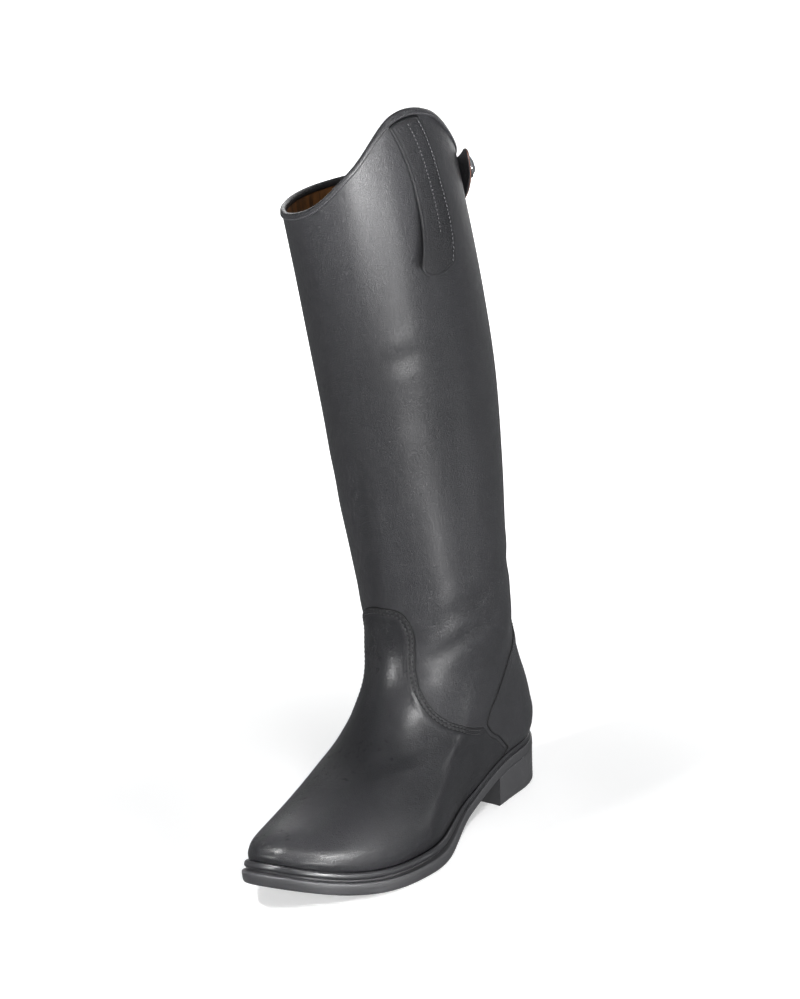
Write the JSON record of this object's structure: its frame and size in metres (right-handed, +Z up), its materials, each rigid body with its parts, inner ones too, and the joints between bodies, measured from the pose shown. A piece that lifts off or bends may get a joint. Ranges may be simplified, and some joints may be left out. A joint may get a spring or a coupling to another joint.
{
  "type": "riding boot",
  "caption": "Tall black leather riding boot with a zip up the back, a snap strap over the zip top, a high outer collar peak and a low rubber heel.",
  "frame": {"origin": "floor plane under the middle of the boot's outline seen from above", "axes": "+Z up, -Y towards the toe, +Y towards the heel, +X towards the outer side of the left foot"},
  "size_m": [0.1267, 0.2996, 0.5102],
  "materials": {
    "leather": "semi-gloss grained",
    "edge_leather": "semi-gloss bound edge",
    "board": "matte natural",
    "rubber": "satin moulded",
    "tape": "woven tape with a plastic coil",
    "chrome": "polished"
  },
  "bodies": {
    "boot": {"upper": "leather", "vamp": "leather", "heel_quarter_lateral": "leather", "heel_quarter_medial": "leather", "heel_counter": "leather", "zip_facing_lateral": "leather", "zip_facing_medial": "leather", "collar_binding": "edge_leather", "zip_chain": "tape", "closing_strap": "leather", "snap_button": "chrome", "dress_tab": "leather", "insole": "board", "welt": "rubber", "outsole": "rubber", "heel": "rubber", "zip_slider": "chrome"},
    "pull": {"zip_pull": "chrome"}
  },
  "joints": [
    {"name": "zip_pull_swing", "type": "hinge", "parent": "boot", "child": "pull", "pos_m": [-0.0045, 0.12399, 0.39557], "axis": [1, 0, 0], "range_deg": [0, 150]}
  ]
}
